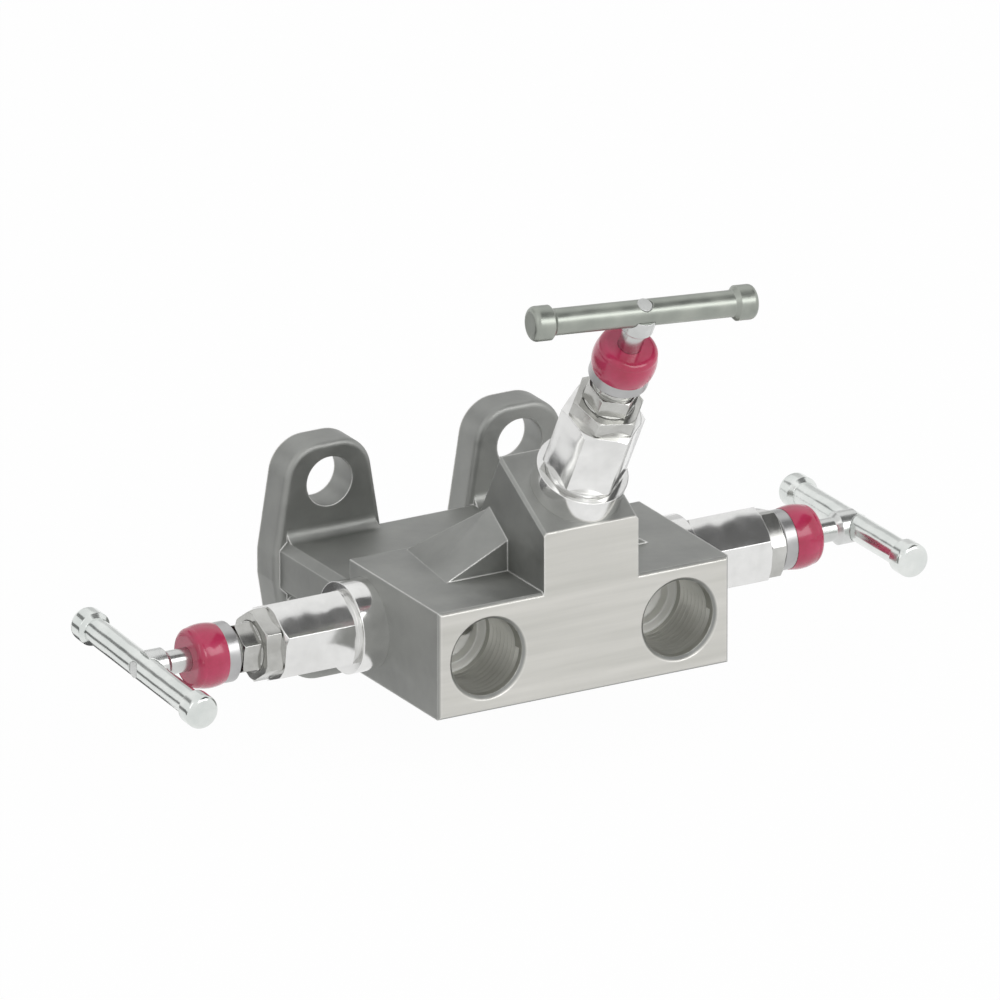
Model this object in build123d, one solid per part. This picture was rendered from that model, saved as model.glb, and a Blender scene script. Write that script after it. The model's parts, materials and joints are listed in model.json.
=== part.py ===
from build123d import *
import os
from math import cos, radians, sin, sqrt, tan

# Three-valve instrument manifold: two pipe ports in the front block, an isolating valve on
# each end, an equalising valve on a leaning boss, and two kidney pads that bolt to a
# differential-pressure transmitter. Millimetres. The origin is the centre of the four bolt
# holes on the transmitter face: +X right seen from the ports, +Y out of that face, +Z up.

# Transmitter face
BOLT_SPACING_X = 54.0
BOLT_SPACING_Z = 41.3
BOLT_HOLE_R = 6.4
PAD_THICK = 9.0
PAD_SHOULDER_R = 9.4
PAD_SHOULDER_X = 2.9
PAD_END_REACH = 10.4
PAD_WAIST_OUTER = 15.4
PAD_WAIST_INNER = 15.4
PAD_WAIST_H = 6.0
PAD_CORNER_R = 3.0
PAD_EDGE_R = 1.6
FLANGE_PORT_R = 2.0
SEAL_OUTER_R = 9.2
SEAL_INNER_R = 6.4
SEAL_THICK = 2.4
SEAL_CRUSH_ROOM = 0.1

# Body
DEPTH = 88.0
BLOCK_DEPTH = 45.0
BLOCK_EDGE = 0.8
WEB_H = 13.6
WEB_EDGE = 2.0
WEB_ROOT_R = 3.0

# Pipe ports, 1/2 NPT
PORT_SPACING = 54.0
PORT_R = 9.9
PORT_DEPTH = 19.0
PORT_MOUTH_R = 10.9
PORT_STEP_R = 7.6
PORT_STEP_DEPTH = 3.0
PORT_WALL_SIDE = 3.1
PORT_WALL_TOP = 3.1
INLET_R = 2.5

# Boss of the equalising valve
BOSS_X = 2.0
BOSS_W = 26.6
BOSS_FRONT_H = 29.3
BOSS_SLOPE = 30.0
BOSS_FACE_LENGTH = 26.0
BOSS_EDGE = 0.7
SKIRT_FRONT_Y = 18.0
SKIRT_PEAK_Y = 27.0
SKIRT_BACK_Y = 43.0
SKIRT_FOOT_W = 57.2
SKIRT_BACK_W = 51.0
SKIRT_SHOULDER_H = 22.0
SKIRT_PEAK_H = 27.8
SKIRT_LIP = 0.2
SKIRT_SINK = 2.0

# Valve axes
VALVE_FROM_FRONT = 36.0
EQUALISER_X = 3.6
EQUALISER_UP_SLOPE = 12.2
CROSS_DRILL_R = 1.75
CROSS_DRILL_START = 47.0

# Bonnet, lengths counted outward from the face it seats on
SHANK_R = 9.0
SHANK_LENGTH = 10.5
FLANGE_R = 11.6
FLANGE_L = 7.0
NECK_R = 9.0
NECK_L = 1.0
HEX_AF = 18.4
HEX_END = 27.8
HEX_CHAMFER = 1.2
GUIDE_R = 5.0
GUIDE_TOP = 2.2
STEM_BORE_R = 3.1
PACKING_BOX_R = 5.6
PACKING_BOX_BOTTOM = 7.5
ADJUSTER_BORE_R = 6.5
ADJUSTER_BOTTOM = 17.0
THREAD_GAP = 0.1

# Chamber, seal and seat under the bonnet
BONNET_SEAL_THICK = 1.5
CHAMBER_R = 6.0
CHAMBER_LENGTH = 5.0
SEAT_R = 4.5
SEAT_LENGTH = 4.5
ORIFICE_R = 2.0
UNDER_SEAT_R = 2.5
UNDER_SEAT_LENGTH = 7.0

# Packing
WASHER_THICK = 1.0
RING_THICK = 2.0
RING_COUNT = 3
RING_GAP = 0.05
GLAND_THICK = 1.5
FIT_GAP = 0.1

# Nuts
LOCK_NUT_AF = 16.0
LOCK_NUT_THICK = 4.6
LOCK_NUT_CHAMFER = 0.8
ADJUSTER_R = 6.4
ADJUSTER_AF = 11.8
ADJUSTER_HEX_THICK = 5.0
ADJUSTER_HEX_CHAMFER = 0.6
ADJUSTER_NECK_R = 5.4
ADJUSTER_NECK_L = 1.5
NUT_GAP = 0.4

# Dust cap and the ring round its mouth; both ride on the stem and slide over the adjuster
CAP_BORE_R = 7.1
CAP_R = 8.1
CAP_MOUTH_R = 7.7
CAP_CROWN_STEP = 0.5
CAP_EDGE_R = 1.8
CAP_LENGTH = 8.0
CAP_CROWN_THICK = 1.6
CAP_RING_R = 7.6
CAP_RING_LENGTH = 3.4
CAP_RING_EDGE = 0.3
CAP_GAP = 0.5
CAP_GRIP = 0.05

# Stem, tip and handle
STEM_R = 3.0
STEM_THREAD_R = 4.0
STEM_THREAD_GAP = 0.1
STEM_SPIGOT_R = 2.0
STEM_SPIGOT_SHORT = 0.3
HUB_R = 4.2
HUB_LENGTH = 2.2
HUB_CHAMFER = 0.6
BAR_FROM_SEATING = 56.2
BAR_R = 3.35
BAR_KNOB_R = 4.4
BAR_KNOB_L = 6.0
BAR_KNOB_ROUND = 1.5
BAR_LENGTH = 60.0
BAR_FIT_GAP = 0.05
TIP_R = 4.6
TIP_LENGTH = 10.0
TIP_NOSE_R = 1.4
TIP_NOSE_L = 3.0
TIP_SHOULDER_L = 1.2
TIP_CHAMFER = 0.4
TIP_LIFT_OFF = 0.15
BUTTON_R = 2.4
BUTTON_NECK_R = 1.6
BUTTON_L = 2.0
BUTTON_NECK_L = 1.6
SWIVEL_GAP = 0.2

# Travel of a stem: turns of its thread from closed to open
THREAD_PITCH = 1.25
TURNS_OPEN = 6.75

# How far each valve stands open, and how its handle and its hexagons are turned
VALVES = {
    "left": {"open_turns": 5.0, "bar_turn": -4.3, "hex_turn": 23.0},
    "right": {"open_turns": 0.0, "bar_turn": 0.0, "hex_turn": -23.0},
    "equaliser": {"open_turns": 6.75, "bar_turn": 84.0, "hex_turn": 8.0},
}
LOCK_NUT_TURN = 11.0

# Places worked out from the sizes above
BLOCK_W = PORT_SPACING + 2 * (PORT_MOUTH_R + PORT_WALL_SIDE)
BLOCK_H = 2 * (PORT_MOUTH_R + PORT_WALL_TOP)
FRONT_Y = -DEPTH
BLOCK_BACK_Y = FRONT_Y + BLOCK_DEPTH
PAD_FRONT_Y = -PAD_THICK
VALVE_Y = FRONT_Y + VALVE_FROM_FRONT
CHAMBER_TOP = -SHANK_LENGTH - BONNET_SEAL_THICK
CHAMBER_BOTTOM = CHAMBER_TOP - CHAMBER_LENGTH
CHAMBER_MIDDLE = (CHAMBER_TOP + CHAMBER_BOTTOM) / 2
SEAT_BOTTOM = CHAMBER_BOTTOM - SEAT_LENGTH
UNDER_SEAT_END = SEAT_BOTTOM - UNDER_SEAT_LENGTH
PACKING_TOP = PACKING_BOX_BOTTOM + WASHER_THICK + RING_COUNT * RING_THICK
GLAND_TOP = PACKING_TOP + GLAND_THICK
LOCK_NUT_BOTTOM = HEX_END
ADJUSTER_HEX_BOTTOM = LOCK_NUT_BOTTOM + LOCK_NUT_THICK + NUT_GAP
ADJUSTER_HEX_TOP = ADJUSTER_HEX_BOTTOM + ADJUSTER_HEX_THICK
ADJUSTER_TOP = ADJUSTER_HEX_TOP + ADJUSTER_NECK_L
CAP_RING_BOTTOM = LOCK_NUT_BOTTOM + LOCK_NUT_THICK + CAP_GAP
CAP_BOTTOM = CAP_RING_BOTTOM + CAP_RING_LENGTH
CAP_TOP = CAP_BOTTOM + CAP_LENGTH
STEM_THREAD_TOP = CAP_TOP - CAP_CROWN_THICK
HUB_TOP = BAR_FROM_SEATING - BAR_R
TIP_BOTTOM = CHAMBER_BOTTOM + TIP_LIFT_OFF
TIP_TOP = TIP_BOTTOM + TIP_LENGTH
STEM_SHOULDER = GLAND_TOP + THREAD_GAP
LEAN = radians(BOSS_SLOPE)
BOSS_FRONT_EDGE = Vector(EQUALISER_X, FRONT_Y, BOSS_FRONT_H)
UP_SLOPE = Vector(0, cos(LEAN), sin(LEAN))

# Valve frames: z runs outward along the stem, x is the rest direction of the handle
SEATING_PLANES = {
    "left": Plane((-BLOCK_W / 2, VALVE_Y, 0), x_dir=(0, 1, 0), z_dir=(-1, 0, 0)),
    "right": Plane((BLOCK_W / 2, VALVE_Y, 0), x_dir=(0, 1, 0), z_dir=(1, 0, 0)),
    "equaliser": Plane(
        BOSS_FRONT_EDGE + UP_SLOPE * EQUALISER_UP_SLOPE,
        x_dir=tuple(UP_SLOPE),
        z_dir=(0, -sin(LEAN), cos(LEAN)),
    ),
}


def rod(radius, start, end):
    """A round bar on the valve axis between two lengths."""
    return Pos(0, 0, start) * Cylinder(
        radius, end - start, align=(Align.CENTER, Align.CENTER, Align.MIN)
    )


def ring(outer, inner, start, end):
    return rod(outer, start, end) - rod(inner, start - 1, end + 1)


def turned(points):
    """A solid turned about the valve axis from (radius, length) corners."""
    profile = make_face(Polyline([(r, 0, z) for r, z in points], close=True))
    return revolve(profile, axis=Axis.Z)


def hexagon(across_flats, start, end, chamfer_low=0.0, chamfer_high=0.0):
    """A hexagonal prism with its corners turned back by 30 degree cones."""
    corner = across_flats / sqrt(3)
    prism = Pos(0, 0, start) * extrude(
        RegularPolygon(across_flats / 2, 6, major_radius=False), amount=end - start
    )
    reach = corner + 1
    slope = tan(radians(30))

    def cone_length(chamfer):
        return (reach - (corner - chamfer)) * slope if chamfer else 0

    low, high = cone_length(chamfer_low), cone_length(chamfer_high)
    corners = [(0, start), (corner - chamfer_low, start)]
    if low:
        corners.append((reach, start + low))
    else:
        corners.append((reach, start))
    if high:
        corners += [(reach, end - high), (corner - chamfer_high, end)]
    else:
        corners.append((reach, end))
    corners.append((0, end))
    corners = [c for i, c in enumerate(corners) if i == 0 or c != corners[i - 1]]
    return prism & turned(corners)


def drill(start, end, radius):
    """A straight drilled hole between two points."""
    start, end = Vector(*start), Vector(*end)
    way = end - start
    return Plane(start, z_dir=way.normalized()) * Cylinder(
        radius, way.length, align=(Align.CENTER, Align.CENTER, Align.MIN)
    )


def on_axis(name, length):
    """A point on a valve's axis."""
    plane = SEATING_PLANES[name]
    return plane.origin + plane.z_dir * length


def pad_outline(side):
    """The kidney outline of one transmitter pad, about its own port."""
    shoulder_z = BOLT_SPACING_Z / 2 + PAD_END_REACH - PAD_SHOULDER_R
    rounds = [
        Pos(shoulder_side * PAD_SHOULDER_X, end * shoulder_z) * Circle(PAD_SHOULDER_R)
        for shoulder_side in (-1, 1)
        for end in (-1, 1)
    ]
    waist = [
        Pos(corner_x, side_z * PAD_WAIST_H / 2) * Circle(PAD_CORNER_R)
        for corner_x in (
            side * (PAD_WAIST_OUTER - PAD_CORNER_R),
            -side * (PAD_WAIST_INNER - PAD_CORNER_R),
        )
        for side_z in (-1, 1)
    ]
    edges = [edge for shape in rounds + waist for edge in shape.edges()]
    outline = make_hull(edges)
    return Plane.XZ * Pos(side * BOLT_SPACING_X / 2, 0) * outline


def pads():
    """Both transmitter pads, with their rims rounded."""
    both = []
    for side in (-1, 1):
        pad = extrude(pad_outline(side), amount=PAD_THICK)
        front = pad.faces().sort_by(Axis.Y)[0]
        both.append(fillet(front.edges(), PAD_EDGE_R))
    return both


def front_block():
    block = Pos(0, (FRONT_Y + BLOCK_BACK_Y) / 2, 0) * Box(BLOCK_W, BLOCK_DEPTH, BLOCK_H)
    long_edges = block.edges().filter_by(Axis.X) + block.edges().filter_by(Axis.Z)
    return chamfer(long_edges, BLOCK_EDGE)


def web():
    """The thinner bridge from the block to the pads, filleted into both pads."""
    length = PAD_FRONT_Y - BLOCK_BACK_Y
    bridge = Pos(0, BLOCK_BACK_Y + length / 2, 0) * Box(BLOCK_W, length, WEB_H)
    bridge = chamfer(bridge.edges().filter_by(Axis.Y), WEB_EDGE)
    half = WEB_H / 2
    corner = make_face(
        Polyline(
            (PAD_FRONT_Y, half - 1),
            (PAD_FRONT_Y, half + WEB_ROOT_R),
            (PAD_FRONT_Y - WEB_ROOT_R, half),
            (PAD_FRONT_Y - WEB_ROOT_R, half - 1),
            close=True,
        )
    ) - Pos(PAD_FRONT_Y - WEB_ROOT_R, half + WEB_ROOT_R) * Circle(WEB_ROOT_R)
    root_width = BLOCK_W - 2 * WEB_EDGE
    pad_columns = extrude(offset(pad_outline(-1), -PAD_EDGE_R), amount=DEPTH) + extrude(
        offset(pad_outline(1), -PAD_EDGE_R), amount=DEPTH
    )
    for flip in (False, True):
        fillet_bar = extrude(Plane.YZ * corner, amount=root_width / 2, both=True)
        if flip:
            fillet_bar = fillet_bar.mirror(Plane.XY)
        bridge += fillet_bar & pad_columns
    return bridge


def boss():
    """The leaning boss: flush with the front, square to the valve axis on top."""
    tip_y = FRONT_Y + BOSS_FACE_LENGTH * cos(LEAN)
    tip_z = BOSS_FRONT_H + BOSS_FACE_LENGTH * sin(LEAN)
    back_z = BLOCK_H / 4
    back_y = tip_y + (tip_z - back_z) * tan(LEAN)
    side = Polyline(
        (FRONT_Y, 0),
        (FRONT_Y, BOSS_FRONT_H),
        (tip_y, tip_z),
        (back_y, back_z),
        (back_y, 0),
        close=True,
    )
    body = extrude(Plane.YZ * make_face(side), amount=BOSS_W / 2, both=True)
    cheeks = body.faces().filter_by(Axis.X)
    upper = [edge for edge in cheeks.edges() if edge.center().Z > BOSS_FRONT_H / 2]
    return Pos(BOSS_X, 0, 0) * chamfer(upper, BOSS_EDGE)


def skirt():
    """The hipped skirt that carries the boss down to the block, sides and back."""
    top = BLOCK_H / 2
    base = top - SKIRT_SINK
    boss_left, boss_right = BOSS_X - BOSS_W / 2, BOSS_X + BOSS_W / 2

    def section(depth, foot_half, left, right, shoulder_z):
        outline = make_face(
            Polyline(
                (-foot_half, base),
                (-foot_half, top),
                (left, shoulder_z),
                (right, shoulder_z),
                (foot_half, top),
                (foot_half, base),
                close=True,
            )
        )
        return Plane((0, FRONT_Y + depth, 0), x_dir=(1, 0, 0), z_dir=(0, -1, 0)) * outline

    front_half, back_half = SKIRT_FOOT_W / 2, SKIRT_BACK_W / 2
    share = (SKIRT_PEAK_Y - SKIRT_FRONT_Y) / (SKIRT_BACK_Y - SKIRT_FRONT_Y)
    middle_half = front_half + share * (back_half - front_half)
    back_lip = back_half - SKIRT_LIP
    front = section(SKIRT_FRONT_Y, front_half, boss_left, boss_right, SKIRT_SHOULDER_H)
    middle = section(SKIRT_PEAK_Y, middle_half, boss_left, boss_right, SKIRT_PEAK_H)
    back = section(SKIRT_BACK_Y, back_half, -back_lip, back_lip, top + SKIRT_LIP)
    return loft([front, middle], ruled=True) + loft([middle, back], ruled=True)


def valve_cavity(name):
    """Everything bored along a valve axis: bonnet thread, seal face, chamber and seat."""
    cavity = (
        rod(SHANK_R, CHAMBER_TOP, FLANGE_L)
        + rod(CHAMBER_R, CHAMBER_BOTTOM, CHAMBER_TOP)
        + rod(SEAT_R, SEAT_BOTTOM, CHAMBER_BOTTOM)
        + rod(UNDER_SEAT_R, UNDER_SEAT_END, SEAT_BOTTOM)
    )
    return SEATING_PLANES[name] * cavity


def port_cavity(side):
    """A pipe port: chamfered mouth, thread bore and the stepped bottom."""
    mouth = PORT_MOUTH_R - PORT_R
    shape = turned(
        [
            (0, -1),
            (PORT_MOUTH_R, -1),
            (PORT_MOUTH_R, 0),
            (PORT_R, mouth),
            (PORT_R, PORT_DEPTH),
            (PORT_STEP_R, PORT_DEPTH),
            (PORT_STEP_R, PORT_DEPTH + PORT_STEP_DEPTH),
            (0, PORT_DEPTH + PORT_STEP_DEPTH + PORT_STEP_R * tan(radians(30))),
        ]
    )
    frame = Plane((side * PORT_SPACING / 2, FRONT_Y, 0), x_dir=(1, 0, 0), z_dir=(0, 1, 0))
    return frame * shape


def passages():
    """Port to under-seat, chamber to transmitter, and the two runs to the equaliser."""
    holes = []
    for name, side in (("left", -1), ("right", 1)):
        transmitter_x = side * BOLT_SPACING_X / 2
        chamber = on_axis(name, CHAMBER_MIDDLE)
        under_seat = on_axis(name, UNDER_SEAT_END + INLET_R)
        port_bottom = (
            side * (PORT_SPACING / 2 - PORT_STEP_R + INLET_R),
            FRONT_Y + PORT_DEPTH + PORT_STEP_DEPTH - 0.5,
            0,
        )
        equaliser_end = CHAMBER_MIDDLE if side < 0 else UNDER_SEAT_END + INLET_R
        holes += [
            drill(port_bottom, under_seat, INLET_R),
            drill((transmitter_x, 1, 0), (transmitter_x, chamber.Y, 0), FLANGE_PORT_R),
            drill(
                (transmitter_x, FRONT_Y + CROSS_DRILL_START, 0),
                on_axis("equaliser", equaliser_end),
                CROSS_DRILL_R,
            ),
        ]
    return holes


def manifold_body():
    body = front_block() + web()
    for pad in pads():
        body += pad
    body += skirt()
    body += boss()
    for name in VALVES:
        body -= valve_cavity(name)
    for side in (-1, 1):
        body -= port_cavity(side)
        port_x = side * BOLT_SPACING_X / 2
        for end in (-1, 1):
            hole_z = end * BOLT_SPACING_Z / 2
            body -= drill((port_x, 1, hole_z), (port_x, PAD_FRONT_Y - 1, hole_z), BOLT_HOLE_R)
        body -= Pos(port_x, 0, 0) * Rot(90, 0, 0) * ring(
            SEAL_OUTER_R, SEAL_INNER_R, -1, SEAL_THICK
        )
    for hole in passages():
        body -= hole
    return body


def flange_seal(side):
    """The face seal round one transmitter port, in its groove."""
    seal = ring(SEAL_OUTER_R - FIT_GAP, SEAL_INNER_R + FIT_GAP, SEAL_CRUSH_ROOM, SEAL_THICK)
    return Pos(side * BOLT_SPACING_X / 2, 0, 0) * Rot(90, 0, 0) * seal


def bonnet():
    """Threaded shank, seating flange and hexagon in one piece, bored for the stem."""
    outside = (
        rod(SHANK_R - THREAD_GAP, -SHANK_LENGTH, 0)
        + rod(FLANGE_R, 0, FLANGE_L)
        + rod(NECK_R, FLANGE_L, FLANGE_L + NECK_L)
        + hexagon(HEX_AF, FLANGE_L + NECK_L, HEX_END, HEX_CHAMFER, HEX_CHAMFER)
    )
    bores = (
        rod(GUIDE_R, -SHANK_LENGTH - 1, GUIDE_TOP)
        + rod(STEM_BORE_R, GUIDE_TOP, PACKING_BOX_BOTTOM)
        + rod(PACKING_BOX_R, PACKING_BOX_BOTTOM, ADJUSTER_BOTTOM)
        + rod(ADJUSTER_BORE_R, ADJUSTER_BOTTOM, HEX_END + 1)
    )
    return outside - bores


def bonnet_seal():
    return ring(SHANK_R - THREAD_GAP, CHAMBER_R, CHAMBER_TOP, -SHANK_LENGTH)


def seat():
    """The pressed-in seat, its mouth coned for the nose of the tip."""
    cone = turned(
        [
            (0, CHAMBER_BOTTOM - TIP_NOSE_L),
            (ORIFICE_R, CHAMBER_BOTTOM - TIP_NOSE_L + ORIFICE_R),
            (ORIFICE_R + 1.0, CHAMBER_BOTTOM + 0.01),
            (0, CHAMBER_BOTTOM + 0.01),
        ]
    )
    return ring(SEAT_R, ORIFICE_R, SEAT_BOTTOM, CHAMBER_BOTTOM) - cone


def packing_washer():
    bottom = PACKING_BOX_BOTTOM
    return ring(PACKING_BOX_R - FIT_GAP, STEM_BORE_R, bottom, bottom + WASHER_THICK)


def packing_rings():
    """The stack of packing rings, each its own solid."""
    rings = []
    for number in range(RING_COUNT):
        bottom = PACKING_BOX_BOTTOM + WASHER_THICK + number * RING_THICK
        rings.append(
            ring(PACKING_BOX_R - RING_GAP, STEM_R + RING_GAP, bottom, bottom + RING_THICK)
        )
    return Compound(rings)


def gland_ring():
    return ring(PACKING_BOX_R - FIT_GAP, STEM_BORE_R, PACKING_TOP, GLAND_TOP)


def packing_nut():
    """The adjuster that loads the packing and carries the stem thread."""
    outside = (
        rod(PACKING_BOX_R - FIT_GAP, GLAND_TOP, ADJUSTER_BOTTOM + FIT_GAP)
        + rod(ADJUSTER_R, ADJUSTER_BOTTOM + FIT_GAP, ADJUSTER_HEX_BOTTOM)
        + hexagon(ADJUSTER_AF, ADJUSTER_HEX_BOTTOM, ADJUSTER_HEX_TOP, 0, ADJUSTER_HEX_CHAMFER)
        + rod(ADJUSTER_NECK_R, ADJUSTER_HEX_TOP, ADJUSTER_TOP)
    )
    return outside - rod(STEM_THREAD_R + STEM_THREAD_GAP, GLAND_TOP - 1, ADJUSTER_TOP + 1)


def lock_nut():
    top = LOCK_NUT_BOTTOM + LOCK_NUT_THICK
    nut = hexagon(LOCK_NUT_AF, LOCK_NUT_BOTTOM, top, LOCK_NUT_CHAMFER, LOCK_NUT_CHAMFER)
    nut = nut - rod(ADJUSTER_BORE_R, LOCK_NUT_BOTTOM - 1, top + 1)
    return Rot(0, 0, LOCK_NUT_TURN) * nut


def dust_cap():
    """The moulded cap: a bulged barrel gripped on the stem, open over the adjuster."""
    waist = (CAP_BOTTOM + CAP_TOP) / 2 - 1
    crown_r = CAP_R - CAP_CROWN_STEP
    crown = CAP_TOP - CAP_EDGE_R
    bulge = CAP_EDGE_R * (1 - cos(radians(45)))
    with BuildLine(Plane.XZ) as outline:
        Spline((CAP_MOUTH_R, CAP_BOTTOM), (CAP_R, waist), (crown_r, crown))
        ThreePointArc(
            (crown_r, crown),
            (crown_r - bulge, CAP_TOP - bulge),
            (crown_r - CAP_EDGE_R, CAP_TOP),
        )
        Polyline(
            (crown_r - CAP_EDGE_R, CAP_TOP), (0, CAP_TOP), (0, CAP_BOTTOM), (CAP_MOUTH_R, CAP_BOTTOM)
        )
    outside = revolve(make_face(outline.line), axis=Axis.Z)
    hollow = rod(CAP_BORE_R, CAP_BOTTOM - 1, CAP_TOP - CAP_CROWN_THICK)
    return outside - hollow - rod(STEM_R + CAP_GRIP, CAP_BOTTOM, CAP_TOP + 1)


def cap_ring():
    """The ring round the mouth of the cap."""
    body = turned(
        [
            (0, CAP_RING_BOTTOM),
            (CAP_RING_R - CAP_RING_EDGE, CAP_RING_BOTTOM),
            (CAP_RING_R, CAP_RING_BOTTOM + CAP_RING_EDGE),
            (CAP_RING_R, CAP_BOTTOM),
            (0, CAP_BOTTOM),
        ]
    )
    return body - rod(CAP_BORE_R, CAP_RING_BOTTOM - 1, CAP_BOTTOM + 1)


def stem():
    """Plain for the packing, threaded in the adjuster, with a hub and spigot for the bar."""
    button_top = TIP_TOP - BUTTON_NECK_L
    hub_bottom = HUB_TOP - HUB_LENGTH
    spigot_top = BAR_FROM_SEATING + BAR_R - STEM_SPIGOT_SHORT
    hub = turned(
        [
            (0, hub_bottom - HUB_CHAMFER),
            (HUB_R - 2 * HUB_CHAMFER, hub_bottom - HUB_CHAMFER),
            (HUB_R, hub_bottom + HUB_CHAMFER),
            (HUB_R, BAR_FROM_SEATING),
            (0, BAR_FROM_SEATING),
        ]
    )
    bar_way = Pos(0, 0, BAR_FROM_SEATING) * Rot(0, 90, 0) * Cylinder(
        BAR_R + BAR_FIT_GAP, BAR_LENGTH
    )
    return (
        rod(BUTTON_R, button_top - BUTTON_L, button_top - SWIVEL_GAP)
        + rod(BUTTON_NECK_R, button_top - SWIVEL_GAP, TIP_TOP + SWIVEL_GAP)
        + rod(STEM_R, TIP_TOP + SWIVEL_GAP, STEM_SHOULDER)
        + rod(STEM_THREAD_R, STEM_SHOULDER, STEM_THREAD_TOP)
        + rod(STEM_R, STEM_THREAD_TOP, hub_bottom)
        + (hub - bar_way)
        + rod(STEM_SPIGOT_R, hub_bottom, spigot_top)
    )


def stem_tip():
    """The tip that doesn't turn: a nose for the seat and a socket round the button."""
    nose_top = TIP_BOTTOM
    button_top = TIP_TOP - BUTTON_NECK_L
    outside = turned(
        [
            (0, nose_top - TIP_NOSE_L + TIP_NOSE_R * 0.4),
            (TIP_NOSE_R * 0.7, nose_top - TIP_NOSE_L + TIP_NOSE_R * 0.4),
            (ORIFICE_R + 0.75, nose_top),
            (TIP_R, nose_top + TIP_SHOULDER_L),
            (TIP_R, TIP_TOP - TIP_CHAMFER),
            (TIP_R - TIP_CHAMFER, TIP_TOP),
            (0, TIP_TOP),
        ]
    )
    socket = rod(
        BUTTON_R + SWIVEL_GAP, button_top - BUTTON_L - SWIVEL_GAP, button_top
    ) + rod(BUTTON_NECK_R + SWIVEL_GAP, button_top, TIP_TOP + 1)
    return outside - socket


def t_bar():
    """The crossbar, swelled at both ends and bored across for the stem's spigot."""
    half = BAR_LENGTH / 2
    neck = half - BAR_KNOB_L
    swell = BAR_KNOB_R - BAR_R
    round_r, in_round = BAR_KNOB_ROUND, BAR_KNOB_ROUND * (1 - cos(radians(45)))
    with BuildLine(Plane.XZ) as outline:
        Polyline(
            (0, half), (0, 0), (BAR_R, 0), (BAR_R, neck), (BAR_KNOB_R, neck + swell),
            (BAR_KNOB_R, half - round_r),
        )
        ThreePointArc(
            (BAR_KNOB_R, half - round_r),
            (BAR_KNOB_R - in_round, half - in_round),
            (BAR_KNOB_R - round_r, half),
        )
        Line((BAR_KNOB_R - round_r, half), (0, half))
    arm = revolve(make_face(outline.line), axis=Axis.Z)
    bar = Rot(0, 90, 0) * (arm + arm.mirror(Plane.XY))
    spigot_hole = rod(STEM_SPIGOT_R + BAR_FIT_GAP, -BAR_R - 1, BAR_R + 1)
    return Pos(0, 0, BAR_FROM_SEATING) * (bar - spigot_hole)


FIXED_PIECES = {
    "bonnet": bonnet,
    "bonnet_seal": bonnet_seal,
    "seat": seat,
    "packing_washer": packing_washer,
    "packing_rings": packing_rings,
    "gland_ring": gland_ring,
    "packing_nut": packing_nut,
    "lock_nut": lock_nut,
}
TURNING_PIECES = {"stem": stem, "dust_cap": dust_cap, "cap_ring": cap_ring, "t_bar": t_bar}

os.makedirs("parts", exist_ok=True)


def save(shape, name):
    export_step(shape, f"parts/{name}.step")


save(manifold_body(), "manifold_body")
for side_name, side_sign in (("left", -1), ("right", 1)):
    save(flange_seal(side_sign), f"flange_seal_{side_name}")
for valve, state in VALVES.items():
    place = SEATING_PLANES[valve].location
    lift = Pos(0, 0, state["open_turns"] * THREAD_PITCH)
    hex_turn = Rot(0, 0, state["hex_turn"])
    for piece, make in FIXED_PIECES.items():
        save(place * hex_turn * make(), f"{valve}_{piece}")
    save(place * lift * stem_tip(), f"{valve}_stem_tip")
    for piece, make in TURNING_PIECES.items():
        save(place * lift * Rot(0, 0, state["bar_turn"]) * make(), f"{valve}_{piece}")
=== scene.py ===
import json
import math

import bmesh
import bpy
from mathutils import Matrix, Vector


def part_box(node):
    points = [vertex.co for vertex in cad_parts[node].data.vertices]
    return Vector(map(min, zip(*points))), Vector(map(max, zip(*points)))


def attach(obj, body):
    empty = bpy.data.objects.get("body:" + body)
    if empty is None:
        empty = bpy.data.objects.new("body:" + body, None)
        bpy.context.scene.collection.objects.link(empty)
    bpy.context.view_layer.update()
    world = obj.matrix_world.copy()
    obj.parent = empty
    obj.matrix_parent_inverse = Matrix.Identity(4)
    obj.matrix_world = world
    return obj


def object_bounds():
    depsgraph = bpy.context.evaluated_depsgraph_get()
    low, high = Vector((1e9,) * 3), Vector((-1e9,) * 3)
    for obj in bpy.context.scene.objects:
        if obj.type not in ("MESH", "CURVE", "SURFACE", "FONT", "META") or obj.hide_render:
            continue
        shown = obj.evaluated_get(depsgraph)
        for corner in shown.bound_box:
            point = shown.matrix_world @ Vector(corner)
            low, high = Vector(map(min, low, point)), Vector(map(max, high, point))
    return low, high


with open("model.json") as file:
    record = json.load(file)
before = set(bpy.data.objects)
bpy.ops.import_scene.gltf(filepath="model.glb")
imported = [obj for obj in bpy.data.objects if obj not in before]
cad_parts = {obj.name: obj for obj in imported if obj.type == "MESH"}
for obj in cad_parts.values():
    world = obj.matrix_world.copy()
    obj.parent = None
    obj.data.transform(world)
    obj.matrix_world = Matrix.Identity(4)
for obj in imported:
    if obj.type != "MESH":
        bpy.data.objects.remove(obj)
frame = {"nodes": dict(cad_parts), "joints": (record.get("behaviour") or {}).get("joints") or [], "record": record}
cad_low, cad_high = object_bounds()
cad_front_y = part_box("manifold_body")[0].y

# Everything is in metres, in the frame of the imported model: +X right seen from the pipe
# ports, +Y out of the transmitter face, +Z up.
MM = 0.001
WHITE = (1, 1, 1, 1)
Z_AXIS = (0, 0, 1)

# Camera
VIEW_AZIMUTH = math.radians(-29.765)
VIEW_ELEVATION = math.radians(20.496)
VIEW_DISTANCE = 9.67
VIEW_LENS = 1418.0
VIEW_SENSOR = 36.0
VIEW_REACH = 100.0
VIEW_AIM_SIDEWAYS = -6.27 * MM
VIEW_AIM_UP = 15.79 * MM
VIEW_AIM_FROM = Vector((0, -59 * MM, 10 * MM))

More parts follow.
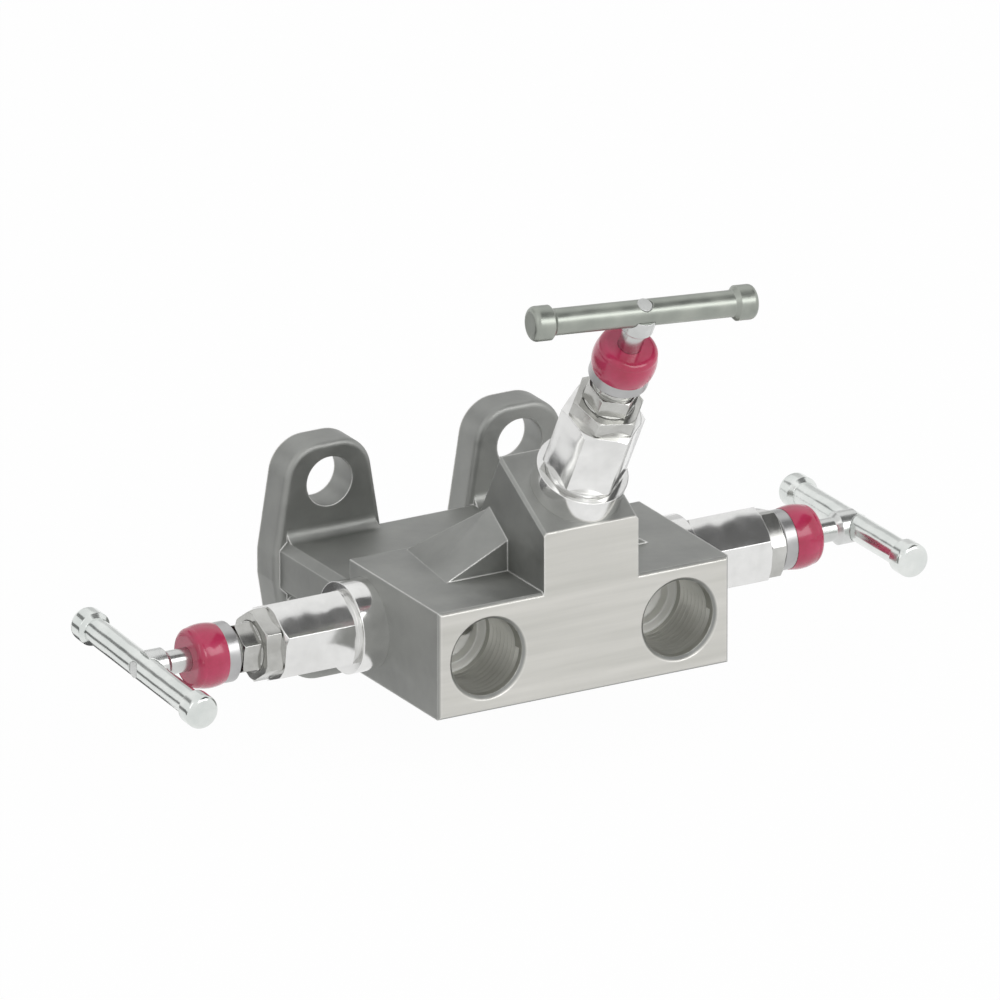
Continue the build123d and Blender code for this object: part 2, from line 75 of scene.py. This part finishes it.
# Pipe ports: their thread, 14 to the inch, and the zones of their walls, which carry painted shade along the
# bottom and painted light at the deep end
PIPE_PITCH = 25.4 / 14 * MM
PIPE_THREAD_DEPTH = 0.35 * MM
PIPE_THREAD_START = 2.4 * MM
PIPE_THREAD_STEPS = 64
PIPE_THREAD_PROUD = 0.01 * MM
THREAD_ROOT_HALF = 0.48
THREAD_CREST_HALF = 0.1
THREAD_EASE = 0.32
PORT_WALL_R = 10.0 * MM
PORT_WALL_END_Y = -61.0 * MM
# Beyond this depth the port walls get painted light: coloured pale and made less metallic
PORT_DEEP_Y = -69.5 * MM
# Painted shade: the thread is coloured darker downward between these two heights
PORT_SHADE_LOW = -7.0 * MM
PORT_SHADE_HIGH = -1.0 * MM

# The side valves' hexagons start this far from the middle plane
SIDE_VALVES_FROM = 40.5 * MM

# Meshes
WELD = 1e-7
CRISP_ANGLE = 35.0

# Noise lies mostly between these two values
NOISE_LOW, NOISE_HIGH = 0.3, 0.7

# How far a softened edge turns from its face where the lighter edge, partly wear and partly painted highlight, is
# full and where it ends
WEAR_AND_HIGHLIGHT_FULL, WEAR_AND_HIGHLIGHT_NONE = 1.0 - 1.0 / 3.0, 0.995

# A face of a hexagon looks out from its axis by more than this cosine
HEX_FLAT_COSINE = 0.8

# Inputs and output of the Mix node for each kind of value
MIX_SOCKETS = {"FLOAT": (2, 0), "VECTOR": (4, 1), "RGBA": (6, 2)}

# Steels that are turned or drawn: colours, roughness, lighter edges (wear and painted highlight) and crown of
# flats
FINISHES = {
    "bonnet_steel": {
        "dark": (0.7, 0.7, 0.69, 1), "light": (0.82, 0.82, 0.81, 1),
        "smooth": 0.1, "rough": 0.17, "crown": 0.4,
    },
    "nut_steel": {
        "dark": (0.42, 0.42, 0.4, 1), "light": (0.6, 0.6, 0.58, 1),
        "smooth": 0.14, "rough": 0.22, "crown": 0.4,
    },
    "stem_steel": {
        "dark": (0.55, 0.56, 0.55, 1), "light": (0.68, 0.69, 0.68, 1),
        "smooth": 0.18, "rough": 0.28,
    },
    "bar_steel": {
        "dark": (0.66, 0.69, 0.67, 1), "light": (0.8, 0.82, 0.8, 1),
        "smooth": 0.12, "rough": 0.22,
    },
    "bar_steel_dull": {
        "dark": (0.3, 0.32, 0.29, 1), "light": (0.4, 0.42, 0.38, 1),
        "smooth": 0.3, "rough": 0.42, "wear_and_highlight_share": 0.2,
    },
    "ring_steel": {
        "dark": (0.4, 0.4, 0.4, 1), "light": (0.5, 0.5, 0.5, 1),
        "smooth": 0.26, "rough": 0.36, "wear_and_highlight_share": 0.3,
    },
    "seat_metal": {
        "dark": (0.5, 0.5, 0.5, 1), "light": (0.6, 0.6, 0.6, 1),
        "smooth": 0.15, "rough": 0.25,
    },
}

# Studio
WORLD_LIGHT, WORLD_SEEN = 0.6, 1.0
FLOOR_HALF = 60.0
FLOOR_DROP = 0.5 * MM
FLOOR_GLOW_SHARE = 0.975
FLOOR_CARD_RISE = 1.0 * MM


# ---------------------------------------------------------------- mesh helpers


def finished(bm, name, material, body):
    """Makes a mesh object of a bmesh, dressed and riding on its body."""
    bmesh.ops.remove_doubles(bm, verts=bm.verts, dist=WELD)
    bmesh.ops.recalc_face_normals(bm, faces=bm.faces)
    piece = linked(bm, name, material)
    smooth_by_angle(piece.data, CRISP_ANGLE)
    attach(piece, body)
    return piece


def linked(bm, name, material):
    """Puts a bmesh into the scene as an object."""
    mesh = bpy.data.meshes.new(name)
    bm.to_mesh(mesh)
    bm.free()
    mesh.materials.append(material)
    made = bpy.data.objects.new(name, mesh)
    bpy.context.scene.collection.objects.link(made)
    return made


def smooth_by_angle(mesh, degrees):
    """Smooth faces, with every edge sharper than the angle kept crisp."""
    limit = math.radians(degrees)
    bm = bmesh.new()
    bm.from_mesh(mesh)
    for face in bm.faces:
        face.smooth = True
    for edge in bm.edges:
        if len(edge.link_faces) != 2 or edge.calc_face_angle(0.0) > limit:
            edge.smooth = False
    bm.to_mesh(mesh)
    bm.free()


def add_thread(bm, root, crest, start, end, pitch, steps):
    """A helical ridge about the Z axis that fades in and out over its first and last turn."""
    half_root, half_crest = pitch * THREAD_ROOT_HALF, pitch * THREAD_CREST_HALF
    corners = (
        (root, -half_root), (crest, -half_crest), (crest, half_crest), (root, half_root),
    )
    ring = [bm.verts.new((radius, 0, start + half_root + rise)) for radius, rise in corners]
    profile = bm.faces.new(ring)
    turns = (end - start - 2 * half_root) / pitch
    count = int(turns * steps)
    bmesh.ops.spin(
        bm, geom=[profile], cent=(0, 0, 0), axis=Z_AXIS,
        dvec=(0, 0, pitch / steps), angle=math.tau * count / steps, steps=count,
        use_merge=False, use_duplicate=False,
    )
    for vert in bm.verts:
        radius = math.hypot(vert.co.x, vert.co.y)
        share = min(1.0, max(0.0, min(vert.co.z - start, end - vert.co.z) / pitch))
        wanted = root + (radius - root) * share
        vert.co.x *= wanted / radius
        vert.co.y *= wanted / radius


def valve_frame(valve):
    """The seat of a valve's bonnet, with Z out along its stem."""
    joint = next(j for j in frame["joints"] if j["name"] == f"{valve}_turn")
    outward = Vector(joint["axis"]).normalized()
    turn = Vector(Z_AXIS).rotation_difference(outward).to_matrix().to_4x4()
    return Matrix.Translation(Vector(joint["pos_m"])) @ turn


# ---------------------------------------------------------------- material helpers


def new_material(name):
    material = bpy.data.materials.new(name)
    material.use_nodes = True
    material.node_tree.nodes.clear()
    return material, material.node_tree


def put(tree, kind, settings=None, **inputs):
    """Adds a node; a value goes on its socket and a socket is linked to it.

    An input is named as its socket is, with _ for a space, or i and its number.
    """
    node = tree.nodes.new(kind)
    for key, value in (settings or {}).items():
        setattr(node, key, value)
    for key, value in inputs.items():
        numbered = key[0] == "i" and key[1:].isdigit()
        socket = node.inputs[int(key[1:]) if numbered else key.replace("_", " ")]
        if isinstance(value, bpy.types.NodeSocket):
            tree.links.new(value, socket)
        else:
            socket.default_value = value
    return node


def own_space(tree):
    return put(tree, "ShaderNodeTexCoord").outputs["Object"]


def face_normal(tree):
    return put(tree, "ShaderNodeNewGeometry").outputs["Normal"]


def part_of(tree, vector, axis):
    return put(tree, "ShaderNodeSeparateXYZ", Vector=vector).outputs[axis]


def noise(tree, coordinates, scale, detail, roughness, stretch=None):
    """Noise in the piece's own space, with features 1/scale metres across."""
    vector = coordinates
    if stretch:
        vector = put(tree, "ShaderNodeMapping", Vector=coordinates, Scale=stretch).outputs[0]
    made = put(
        tree, "ShaderNodeTexNoise", Vector=vector, Scale=scale, Detail=detail,
        Roughness=roughness,
    )
    return made.outputs["Fac"]


def remap(tree, value, low, high, to_low, to_high):
    made = put(
        tree, "ShaderNodeMapRange", {"clamp": True}, Value=value, From_Min=low, From_Max=high,
        To_Min=to_low, To_Max=to_high,
    )
    return made.outputs["Result"]


def spread(tree, pattern, low=0.0, high=1.0):
    """Stretches a noise over the whole way from one value to another."""
    return remap(tree, pattern, NOISE_LOW, NOISE_HIGH, low, high)


def mixed(tree, kind, factor, first, second):
    """Mixes two numbers, vectors or colours, each a value or a socket."""
    start, result = MIX_SOCKETS[kind]
    ends = {f"i{start}": first, f"i{start + 1}": second}
    return put(tree, "ShaderNodeMix", {"data_type": kind}, i0=factor, **ends).outputs[result]


def arithmetic(tree, operation, first, second):
    made = put(tree, "ShaderNodeMath", {"operation": operation}, i0=first, i1=second)
    return made.outputs[0]


def vector_maths(tree, operation, first, second=None):
    """A vector, or the number that a dot product or a length gives."""
    inputs = {"i0": first} if second is None else {"i0": first, "i1": second}
    made = put(tree, "ShaderNodeVectorMath", {"operation": operation}, **inputs)
    return made.outputs["Value" if operation in ("DOT_PRODUCT", "LENGTH") else "Vector"]


def wear_and_highlight_mask(tree, rounded):
    """1 along sharp edges and 0 on open faces, for edge wear and painted highlight."""
    turned = vector_maths(tree, "DOT_PRODUCT", rounded, face_normal(tree))
    return remap(tree, turned, WEAR_AND_HIGHLIGHT_FULL, WEAR_AND_HIGHLIGHT_NONE, 1.0, 0.0)


def rounded_normal(tree, radius):
    """The surface direction with every edge softened to a radius."""
    return put(tree, "ShaderNodeBevel", {"samples": 8}, Radius=radius).outputs[0]


def bumped(tree, normal, height, strength, distance):
    made = put(
        tree, "ShaderNodeBump", Height=height, Strength=strength, Distance=distance,
        Normal=normal,
    )
    return made.outputs[0]


def out_from_valve(tree, place, valve):
    """The direction straight out from a valve's axis."""
    seat = valve_frame(valve)
    away = vector_maths(tree, "SUBTRACT", place, tuple(seat.translation))
    along = vector_maths(tree, "PROJECT", away, tuple(seat.to_3x3().col[2]))
    return vector_maths(tree, "NORMALIZE", vector_maths(tree, "SUBTRACT", away, along))


def crowned(tree, place, normal, share):
    """Leans the flats of the hexagons outward, as rolled bar is slightly crowned."""
    sideways = arithmetic(tree, "ABSOLUTE", part_of(tree, place, "X"), 0.0)
    on_side = arithmetic(tree, "GREATER_THAN", sideways, SIDE_VALVES_FROM)
    out = mixed(
        tree, "VECTOR", on_side, out_from_valve(tree, place, "equaliser"),
        out_from_valve(tree, place, "left"),
    )
    facing = vector_maths(tree, "DOT_PRODUCT", normal, out)
    is_flat = arithmetic(tree, "GREATER_THAN", facing, HEX_FLAT_COSINE)
    lean = mixed(tree, "VECTOR", arithmetic(tree, "MULTIPLY", is_flat, share), normal, out)
    return vector_maths(tree, "NORMALIZE", lean)


def from_port(tree, place):
    """The way out from the axis of the nearer pipe port, across it."""
    side = vector_maths(tree, "SIGN", place)
    centre = vector_maths(tree, "MULTIPLY", side, (pipe_ports["right_port"]["pos_m"][0], 0, 0))
    away = vector_maths(tree, "SUBTRACT", place, centre)
    return vector_maths(tree, "MULTIPLY", away, (1, 0, 1))


def inside_ports(tree, place):
    """1 on the walls of the two pipe ports."""
    distance = vector_maths(tree, "LENGTH", from_port(tree, place))
    near = arithmetic(tree, "LESS_THAN", distance, PORT_WALL_R)
    in_front = arithmetic(tree, "LESS_THAN", part_of(tree, place, "Y"), PORT_WALL_END_Y)
    return arithmetic(tree, "MULTIPLY", near, in_front)


def finish_with(tree, **inputs):
    """Ends a material in one Principled shader."""
    shader = put(tree, "ShaderNodeBsdfPrincipled", **inputs)
    put(tree, "ShaderNodeOutputMaterial", Surface=shader.outputs[0])


# ---------------------------------------------------------------- materials


def thread_steel():
    """The cut thread in the pipe ports, coloured darker towards the bottom as painted shade."""
    material, tree = new_material("thread_steel")
    place = own_space(tree)
    cloud = noise(tree, place, 200.0, 3.0, 0.55)
    colour = mixed(
        tree, "RGBA", spread(tree, cloud), (0.84, 0.84, 0.81, 1), (0.94, 0.94, 0.91, 1)
    )
    # Painted shade: the thread is coloured darker towards the bottom of each port
    painted_shade = remap(tree, part_of(tree, place, "Z"), PORT_SHADE_LOW, PORT_SHADE_HIGH, 0.6, 0.0)
    colour = mixed(tree, "RGBA", painted_shade, colour, (0.3, 0.3, 0.27, 1))
    inward = vector_maths(tree, "MULTIPLY", from_port(tree, place), (-1, -1, -1))
    inward = vector_maths(tree, "NORMALIZE", inward)
    eased = mixed(tree, "VECTOR", THREAD_EASE, face_normal(tree), inward)
    eased = vector_maths(tree, "NORMALIZE", eased)
    finish_with(
        tree, Base_Color=colour, Metallic=0.75, Roughness=0.3,
        Normal=bumped(tree, eased, cloud, 0.1, 0.05 * MM),
    )
    return material


def body_steel():
    """Blasted bar steel, with the port face and the transmitter face ground bright."""
    material, tree = new_material("body_steel")
    place = own_space(tree)
    along = part_of(tree, place, "Y")
    front = remap(tree, along, cad_front_y + 0.1 * MM, cad_front_y + 0.5 * MM, 1.0, 0.0)
    back = remap(tree, along, -0.5 * MM, -0.1 * MM, 0.0, 1.0)
    ground = arithmetic(tree, "MAXIMUM", front, back)
    in_port = inside_ports(tree, place)
    beyond_thread = arithmetic(tree, "GREATER_THAN", along, PORT_DEEP_Y)
    painted_light_deep_end = arithmetic(tree, "MULTIPLY", in_port, beyond_thread)

    cloud = noise(tree, place, 55.0, 4.0, 0.6)
    streaks = noise(tree, place, 30.0, 3.0, 0.55, stretch=(0.6, 1.0, 12.0))
    blasted = mixed(
        tree, "RGBA", spread(tree, cloud), (0.27, 0.275, 0.265, 1), (0.36, 0.365, 0.35, 1)
    )
    machined = mixed(
        tree, "RGBA", spread(tree, streaks), (0.56, 0.555, 0.52, 1), (0.66, 0.65, 0.615, 1)
    )
    colour = mixed(tree, "RGBA", ground, blasted, machined)
    colour = mixed(tree, "RGBA", in_port, colour, (0.5, 0.5, 0.47, 1))
    # Painted light: the deep end of each port is coloured pale
    colour = mixed(tree, "RGBA", painted_light_deep_end, colour, (0.88, 0.88, 0.85, 1))
    # Edges lightened: partly wear, partly a painted highlight
    wear_and_highlight = wear_and_highlight_mask(tree, rounded_normal(tree, 0.9 * MM))
    wear_and_highlight = arithmetic(tree, "MULTIPLY", wear_and_highlight, 0.85)
    colour = mixed(tree, "RGBA", wear_and_highlight, colour, (0.84, 0.84, 0.82, 1))

    roughness = mixed(
        tree, "FLOAT", ground, spread(tree, cloud, 0.42, 0.52), spread(tree, streaks, 0.3, 0.38)
    )
    grain = noise(tree, place, 2600.0, 2.0, 0.6)
    lines = noise(tree, place, 500.0, 2.0, 0.5, stretch=(0.05, 1.0, 4.0))
    height = mixed(tree, "FLOAT", ground, grain, lines)
    dents = noise(tree, place, 110.0, 2.0, 0.5)
    dented = bumped(tree, rounded_normal(tree, 0.6 * MM), dents, 1.0, 0.35 * MM)
    # The painted light at the deep end of the ports also makes it less metallic
    finish_with(
        tree, Base_Color=colour, Metallic=remap(tree, painted_light_deep_end, 0.0, 1.0, 1.0, 0.3),
        Roughness=roughness, Normal=bumped(tree, dented, height, 0.25, 0.04 * MM),
    )
    return material


def bright_steel(name, dark, light, smooth, rough, wear_and_highlight_share=0.5, crown=0.0):
    """Turned or drawn stainless steel: nearly a mirror, smeared, and lighter at its edges with wear and painted
    highlight.
    """
    material, tree = new_material(name)
    place = own_space(tree)
    smear = noise(tree, place, 140.0, 3.0, 0.55)
    fine = noise(tree, place, 1800.0, 2.0, 0.5)
    waves = noise(tree, place, 75.0, 1.5, 0.45)
    colour = mixed(tree, "RGBA", spread(tree, smear), dark, light)
    rounded = rounded_normal(tree, 0.3 * MM)
    # Edges lightened: partly wear, partly a painted highlight
    wear_and_highlight = arithmetic(tree, "MULTIPLY", wear_and_highlight_mask(tree, rounded), wear_and_highlight_share)
    colour = mixed(tree, "RGBA", wear_and_highlight, colour, (0.9, 0.9, 0.89, 1))
    shape = crowned(tree, place, rounded, crown) if crown else rounded
    waved = bumped(tree, shape, waves, 1.0, 0.5 * MM)
    finish_with(
        tree, Base_Color=colour, Metallic=1.0, Roughness=spread(tree, smear, smooth, rough),
        Normal=bumped(tree, waved, fine, 0.06, 0.02 * MM),
    )
    return material


def cap_plastic():
    """Glossy crimson moulding with faint flow marks."""
    material, tree = new_material("cap_plastic")
    flow = noise(tree, own_space(tree), 160.0, 3.0, 0.55)
    colour = mixed(
        tree, "RGBA", spread(tree, flow), (0.41, 0.012, 0.06, 1), (0.53, 0.026, 0.105, 1)
    )
    bump = put(tree, "ShaderNodeBump", Height=flow, Strength=0.12, Distance=0.3 * MM)
    finish_with(
        tree, Base_Color=colour, Roughness=0.24, IOR=1.5, Coat_Weight=0.5,
        Coat_Roughness=0.06, Normal=bump.outputs[0],
    )
    return material


def packing_ptfe():
    """White fluoropolymer, waxy and slightly mottled."""
    material, tree = new_material("packing_ptfe")
    mottle = noise(tree, own_space(tree), 400.0, 3.0, 0.5)
    colour = mixed(tree, "RGBA", mottle, (0.8, 0.8, 0.77, 1), (0.88, 0.88, 0.86, 1))
    bump = put(tree, "ShaderNodeBump", Height=mottle, Strength=0.1, Distance=0.05 * MM)
    finish_with(tree, Base_Color=colour, Roughness=0.45, Normal=bump.outputs[0])
    return material


def dress_nodes():
    """Gives every CAD node the material of its slot in the record."""
    for subpart in frame["record"]["subparts"]:
        mesh = frame["nodes"][subpart["node"]].data
        mesh.materials.clear()
        mesh.materials.append(materials[subpart["material_slot"]])


# ---------------------------------------------------------------- pieces


def pipe_thread(mount):
    """The thread in one pipe port, standing in from the wall of the bore."""
    bore = mount["dims"]["r_mm"] * MM
    length = mount["dims"]["length_mm"] * MM
    bm = bmesh.new()
    add_thread(
        bm, bore - PIPE_THREAD_PROUD, bore - PIPE_THREAD_DEPTH, 0.0,
        length - PIPE_THREAD_START, PIPE_PITCH, PIPE_THREAD_STEPS,
    )
    start = Vector((mount["pos_m"][0], cad_front_y + PIPE_THREAD_START, mount["pos_m"][2]))
    inward = Matrix.Rotation(math.radians(-90), 4, "X")
    bmesh.ops.transform(bm, matrix=Matrix.Translation(start) @ inward, verts=bm.verts)
    name = mount["name"].replace("port", "pipe_thread")
    return finished(bm, name, materials["thread_steel"], "body")


# ---------------------------------------------------------------- studio


def add_camera():
    back = Vector((
        math.sin(VIEW_AZIMUTH) * math.cos(VIEW_ELEVATION),
        -math.cos(VIEW_AZIMUTH) * math.cos(VIEW_ELEVATION),
        math.sin(VIEW_ELEVATION),
    ))
    right = Vector((math.cos(VIEW_AZIMUTH), math.sin(VIEW_AZIMUTH), 0))
    up = back.cross(right)
    aim = VIEW_AIM_FROM + right * VIEW_AIM_SIDEWAYS + up * VIEW_AIM_UP
    camera = bpy.data.objects.new("camera", bpy.data.cameras.new("camera"))
    bpy.context.scene.collection.objects.link(camera)
    camera.data.lens = VIEW_LENS
    camera.data.sensor_width = VIEW_SENSOR
    camera.data.clip_end = VIEW_REACH
    camera.location = aim + back * VIEW_DISTANCE
    camera.rotation_euler = back.to_track_quat("Z", "Y").to_euler()
    bpy.context.scene.camera = camera


def seen_directly(tree):
    """1 for rays that show the surroundings: camera, mirror and glass rays."""
    path = put(tree, "ShaderNodeLightPath").outputs
    mirrored = arithmetic(tree, "MAXIMUM", path["Is Glossy Ray"], path["Is Transmission Ray"])
    return arithmetic(tree, "MAXIMUM", path["Is Camera Ray"], mirrored)


def add_world():
    world = bpy.data.worlds.new("studio")
    bpy.context.scene.world = world
    world.use_nodes = True
    tree = world.node_tree
    tree.nodes.clear()
    strength = remap(tree, seen_directly(tree), 0.0, 1.0, WORLD_LIGHT, WORLD_SEEN)
    light = put(tree, "ShaderNodeBackground", Color=WHITE, Strength=strength)
    put(tree, "ShaderNodeOutputWorld", Surface=light.outputs[0])


def add_floor():
    """A pale floor that shows white and keeps a faint shadow."""
    material, tree = new_material("floor_white")
    paper = put(tree, "ShaderNodeBsdfDiffuse", Color=(0.92, 0.92, 0.92, 1))
    glow = put(tree, "ShaderNodeEmission", Color=WHITE, Strength=1.0)
    share = arithmetic(tree, "MULTIPLY", seen_directly(tree), FLOOR_GLOW_SHARE)
    both = put(tree, "ShaderNodeMixShader", i0=share, i1=paper.outputs[0], i2=glow.outputs[0])
    put(tree, "ShaderNodeOutputMaterial", Surface=both.outputs[0])
    bm = bmesh.new()
    bmesh.ops.create_grid(bm, x_segments=1, y_segments=1, size=FLOOR_HALF)
    floor = linked(bm, "floor", material)
    floor.location.z = cad_low.z - FLOOR_DROP


def face_towards(thing, place, aim):
    """Puts a lamp or a card at its place, with its front to the aim."""
    thing.location = place
    thing.rotation_euler = (Vector(place) - Vector(aim)).to_track_quat("Z", "Y").to_euler()


def add_lamp(name, place, aim, size, power):
    lamp = bpy.data.objects.new(name, bpy.data.lights.new(name, "AREA"))
    bpy.context.scene.collection.objects.link(lamp)
    lamp.data.shape = "RECTANGLE"
    lamp.data.size, lamp.data.size_y = size
    lamp.data.energy = power
    face_towards(lamp, place, aim)
    lamp.visible_camera = False


def add_flag(name, place, aim, size, brightness):
    """A studio card that only reflections see, to give bright metal its darks."""
    material, tree = new_material(name)
    card = put(tree, "ShaderNodeEmission", Color=WHITE, Strength=brightness)
    put(tree, "ShaderNodeOutputMaterial", Surface=card.outputs[0])
    bm = bmesh.new()
    bmesh.ops.create_grid(bm, x_segments=1, y_segments=1, size=0.5)
    bmesh.ops.scale(bm, vec=(size[0], size[1], 1), verts=bm.verts)
    flag = linked(bm, name, material)
    face_towards(flag, place, aim)
    flag.visible_camera = False
    flag.visible_diffuse = False
    flag.visible_shadow = False
    flag.visible_transmission = False


def add_floor_flag(name, x, y, size, brightness):
    """A studio card that lies just above the floor."""
    add_flag(name, (x, y, cad_low.z + FLOOR_CARD_RISE), (x, y, -1), size, brightness)


def add_studio():
    middle = (cad_low + cad_high) / 2
    add_lamp("front_softbox", (0.6, -1.7, 1.2), middle, (1.6, 1.2), 15)
    add_lamp("left_strip", (-1.4, -0.4, 0.9), middle, (0.3, 1.0), 1.2)
    add_flag("overhead_flag", (0.5, -0.42, 0.9), (0.0, -0.06, 0), (1.3, 0.46), 0.15)
    add_flag("rear_card", (0.75, 1.0, 0.45), middle, (1.2, 0.6), 0.7)
    add_flag("rear_overhead_flag", (-0.6, 0.75, 0.62), middle, (0.7, 0.22), 0.25)
    add_floor_flag("rear_floor_flag", -0.095, 0.03, (0.03, 0.12), 0.12)
    add_floor_flag("left_floor_flag", -0.34, 0.25, (0.34, 0.6), 0.2)


view = bpy.context.scene.view_settings
view.view_transform = "Standard"
pipe_ports = {
    mount["name"]: mount
    for mount in frame["record"]["mounts"]
    if mount["kind"] == "threaded_hole"
}
materials = {name: bright_steel(name, **finish) for name, finish in FINISHES.items()}
materials["body_steel"] = body_steel()
materials["thread_steel"] = thread_steel()
materials["cap_plastic"] = cap_plastic()
materials["packing_ptfe"] = packing_ptfe()
dress_nodes()
for port in pipe_ports.values():
    pipe_thread(port)
add_camera()
add_world()
add_floor()
add_studio()
